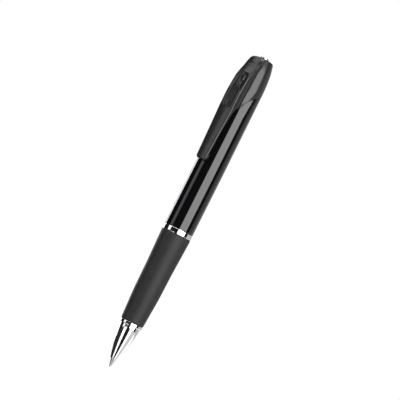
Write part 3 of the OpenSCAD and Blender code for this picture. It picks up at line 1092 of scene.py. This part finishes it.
# %% The clip's section
FACE_LINE = [(8.2, 96.4), (8.42, 96.55), (8.53, 97.1), (8.56, 98.6), (8.55, 112), (8.57, 119.6),
             *RIB_FACE[1:]]
BACK_LINE = [(7.6, 96.4), (7.42, 96.7), (6.86, 98.1), (6.78, 98.5), (6.78, 98.9), (6.86, 99.2),
             (7.4, 99.9), (7.5, 100.4), (7.5, 112), (7.18, 116.5), (6.88, 119), (6.88, 121.3),
             (3.88, 124.2), (3.88, 138), (3.58, 140), (3.58, 146.95)]
WIDTH_LINE = [(2.9, 97.9), (3.06, 102), (4, 121), (4, 146.95)]
CORNER = 1.5
CHAMFER = 0.42
FACE_ROUND = 0.08
FACE_EASE = 0.7 * FACE_ROUND
BACK_ROUND = 0.15
BACK_EASE = 0.05


def along(line, height):
    """The value of a line of (value, height) at a height."""
    for (v0, z0), (v1, z1) in zip(line, line[1:]):
        if z0 <= height <= z1:
            return v0 + (v1 - v0) * (height - z0) / (z1 - z0)
    return line[-1][0] if height > line[-1][1] else line[0][0]


def half_width(height):
    """Half the clip's width, round at the free end's corners."""
    foot = WIDTH_LINE[0][1]
    if height >= foot:
        return along(WIDTH_LINE, height)
    return WIDTH_LINE[0][0] - CORNER + math.sqrt(max(0, CORNER ** 2 - (foot - height) ** 2))


def clip_section(height):
    """The clip's section: a bar whose face has chamfered edges, every corner a little rounded."""
    w = half_width(height)
    face = along(FACE_LINE, height)
    back = along(BACK_LINE, height)
    c = min(CHAMFER, 0.45 * (face - back))
    right = [(w - BACK_ROUND, back), (w - BACK_EASE, back + BACK_EASE), (w, back + BACK_ROUND),
             (w, face - c - FACE_ROUND), (w - FACE_EASE, face - c + FACE_EASE),
             (w - c + FACE_EASE, face - FACE_EASE), (w - c - FACE_ROUND, face)]
    return [*right, *[(-x, d) for x, d in reversed(right)]]


print("the clip is", 2 * half_width(TRACK_HEIGHT), "mm wide at its head")


# %% [markdown]
# ## Skinning the clip
#
# A row of sections is skinned by bridging each ring to the next. They lie at every bend of the
# clip's lines and no more than a millimetre apart, so that the leaf's curves stay smooth.

# %% Skinning the clip
FOOT_STEP = 0.15
LEAST_STEP = 0.02


def loft(name, sections):
    """Skins a row of sections, each a height and a ring of (x, depth)."""
    bm = bmesh.new()
    loops = []
    for z, ring in sections:
        verts = [bm.verts.new((x * MM, -d * MM, z * MM)) for x, d in ring]
        loops.append([bm.edges.new(pair) for pair in zip(verts, verts[1:] + verts[:1])])
    for low, high in zip(loops, loops[1:]):
        bmesh.ops.bridge_loops(bm, edges=low + high)
    bmesh.ops.contextual_create(bm, geom=loops[0])
    bmesh.ops.contextual_create(bm, geom=loops[-1])
    bmesh.ops.recalc_face_normals(bm, faces=bm.faces)
    return as_object(name, bm)


def clip_heights():
    """Heights at every bend of the clip's lines, and no more than a millimetre apart."""
    foot = FACE_LINE[0][1]
    bends = sorted({z for _, z in FACE_LINE + BACK_LINE + WIDTH_LINE}
                   | {foot + FOOT_STEP * i for i in range(10)})
    heights = [bends[0]]
    for z in bends[1:]:
        gap = z - heights[-1]
        parts = max(1, math.ceil(gap))
        if gap > LEAST_STEP:
            heights += [heights[-1] + gap * i / parts for i in range(1, parts)] + [z]
    return heights


print("sections:", len(clip_heights()))


# %% [markdown]
# ## Clip
#
# The skinned bar is trimmed by the pen's rounded end and hollowed for the camera, and the recess,
# the track and the holes are cut into its face. On the real pen the clip is moulded in one with the
# camera's housing and bends where it thins. This piece stands for both, and is put on no body.

# %% Clip
TOP_ROUNDING = [(0, 90), (12, 90), (12, 142.5), (6.6, 143.2), (6.35, 144.3), (5.85, 145.8),
                (5.55, 146.35), (5.3, 146.7), (5, 146.95), (0, 146.95)]
CHAMBER = [(2, 126.5), (6.35, 126.5), (6.35, 137.2), (4.6, 140.4), (2, 140.4)]
HOLE_ROOM = 0.03
BROW_RADIUS = 3.6
BROW_HEIGHT = 10.9
RECESS_FOOT = 4


def track_cutter(outline, start, stop):
    """Cuts square into the clip's face, between two depths from the track's datum."""
    return on_track(pushed("track cutter", outline, "Y", start, stop))


def recess_cutter():
    """The hollow that ramps in from the clip's face and ends under an arched brow."""
    arch = [*arc(0, BROW_HEIGHT, BROW_RADIUS, 0, 180, 32), (-BROW_RADIUS, RECESS_FOOT),
            (BROW_RADIUS, RECESS_FOOT)]
    cutter = pushed("recess cutter", arch, "Y", -3, 2)
    ramp = [(3, RECESS_FOOT), (0.75, RECESS_FOOT), (0.36, 7), (0.02, 9.4), (-0.17, 11),
            (-0.62, 14.6), (3, 14.6)]
    cut(cutter, pushed("ramp", ramp, "X", -4, 4), "INTERSECT")
    return on_track(cutter)


def clip():
    piece = loft("clip_piece", [(z, clip_section(z)) for z in clip_heights()])
    cut(piece, lathe("dome", TOP_ROUNDING), "INTERSECT")
    cut(piece, pushed("chamber", CHAMBER, "X", -3.1, 3.1))
    cut(piece, recess_cutter())
    track = oblong(SHUTTER_WIDTH + 0.1, SHUTTER_LOW - 0.1, SHUTTER_HIGH + SHUTTER_TRAVEL + 0.2)
    cut(piece, track_cutter(track, -2, TRACK_FLOOR))
    cut(piece, track_cutter(disc_outline(SURROUND_RADIUS + HOLE_ROOM, LENS_HEIGHT), 0, 3))
    cut(piece, track_cutter(oblong(LAMP_WIDTH + 0.05, LAMP_LOW - HOLE_ROOM,
                                   LAMP_HIGH + HOLE_ROOM), 0, 3))
    cut(piece, track_cutter(disc_outline(0.47, DETENT_HEIGHT, 24), 0, 2.5))
    soften(piece, 0.06, 2, 50)
    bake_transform(piece)
    ready(piece, "satin_black", None, "camera_housing", "clip_leaf")


clip()


# %% [markdown]
# ## Shutter
#
# The shutter is a thumb slide that covers the lens. Its face is crowned, so it is a flat oblong
# meeting a pushed profile. A shallow dish near its foot is where the thumb pushes, and it is cut by
# a large ball, because a dish is part of a ball's surface.

# %% Shutter
SHUTTER_LIFT = 0.06
DISH_BALL = 5.7
DISH_CENTRE = (0, -5.63, SHUTTER_LOW + SHUTTER_WIDTH / 2)


def thumb_ball():
    """A ball that leaves a shallow round dish where it meets the foot of the shutter."""
    bm = bmesh.new()
    bmesh.ops.create_uvsphere(bm, u_segments=192, v_segments=96, radius=DISH_BALL * MM)
    bmesh.ops.translate(bm, vec=Vector(DISH_CENTRE) * MM, verts=bm.verts)
    return as_object("thumb ball", bm)


def shutter():
    """A thumb slide with a crowned face and a shallow dish near its foot for the thumb."""
    piece = pushed("shutter_piece", oblong(SHUTTER_WIDTH, SHUTTER_LOW, SHUTTER_HIGH), "Y", -1,
                   TRACK_FLOOR - SHUTTER_LIFT)
    crown = [(-TRACK_FLOOR, -3.7), (-0.06, -3.7), (-0.02, SHUTTER_LOW), (0.09, -0.6), (0.14, 1),
             (0.2, 2.8), (0.22, 3.8), (0.2, 4.9), (0.14, 6), (0.03, 7.2), (-0.1, SHUTTER_HIGH),
             (-TRACK_FLOOR, SHUTTER_HIGH)]
    cut(piece, pushed("crown", crown, "X", -3, 3), "INTERSECT")
    soften(piece, 0.12, 3, 40)
    cut(piece, thumb_ball())
    ready(on_track(piece), "satin_black", "shutter", "lens_shutter", sharp=11)


shutter()


# %% [markdown]
# ## Lens and lamp
#
# The lens looks square out of the track, so its parts are spun like the rest and then laid on their
# side. The ring round it is stepped inside, as a real one is, to kill stray light. The outer
# element is a domed glass, and its curve gives the small bright glint. The lamp's window is an oval
# plug set just below the floor of the track, where the shutter slides over it.

# %% Lens and lamp
RIDGES = 4
LAMP_DROP = 0.02


def turned(name, outline):
    """A round piece square to the track at the lens: an outline of (radius, depth) spun round."""
    piece = lathe(name, outline, 64)
    piece.data.transform(TRACK @ Matrix.Translation((0, 0, LENS_HEIGHT * MM))
                         @ Matrix.Rotation(math.radians(-90), 4, "X"))
    return piece


def lens_surround():
    """A stepped ring round the lens, ridged inside to kill stray light."""
    steps = [(SURROUND_RADIUS, 0.76), (SURROUND_RADIUS, 1.22), (1.16, 1.22)]
    for i in range(RIDGES):
        r = 1.18 + 0.1 * i
        depth = 1.12 - 0.09 * i
        steps += [(r, depth), (r + 0.08, depth - 0.02)]
    steps += [(1.6, 0.76)]
    ready(turned("lens_surround", steps), "black_plastic", "pen_body", "lens_bezel", sharp=20)


def domed_lens():
    """The outer element: a thick meniscus, domed outwards."""
    dome = [(0.0, 0.78), (0.35, 0.795), (0.7, 0.84), (1.0, 0.92), (1.12, 0.98), (1.12, 1.19),
            (0.8, 1.14), (0.4, 1.11), (0.0, 1.1)]
    ready(turned("domed_lens", dome), "lens_glass", "pen_body", "lens_window")


def lamp():
    piece = pushed("lamp_piece", oblong(LAMP_WIDTH, LAMP_LOW, LAMP_HIGH), "Y",
                   TRACK_FLOOR + LAMP_DROP, 2)
    soften(piece, 0.1, 3, 40)
    ready(on_track(piece), "red_lens", "pen_body", "light_pipe")


lens_surround()
domed_lens()
lamp()


# %% [markdown]
# ## Push button
#
# A polished button with a shallow dome stands in a black ring on the pen's end, and starts and stops
# a recording. Both are turned parts, and the ring's rim is two small arcs, so that it shows a thin
# bright line.

# %% Push button
def push_button():
    dome = curve_through([(2.04, 148.0), (1.98, 148.2), (1.72, 148.36), (1.1, 148.46),
                          (0.0, 148.5)], 5)
    outline = [(0, 145.17), (2.58, 145.17), (2.58, 146.18), (2.05, 146.18), *dome]
    ready(lathe("push_button", outline, 96), "chrome", "button", "top_button")


def button_ring():
    rim = [(2.12, 146.97), (2.92, 146.97), *arc(2.78, 147.5, 0.14, 0, 90, 4),
           *arc(2.24, 147.52, 0.12, 90, 180, 4)]
    ready(lathe("button_ring", rim, 96), "black_plastic", "pen_body", "button_bezel")


push_button()
button_ring()
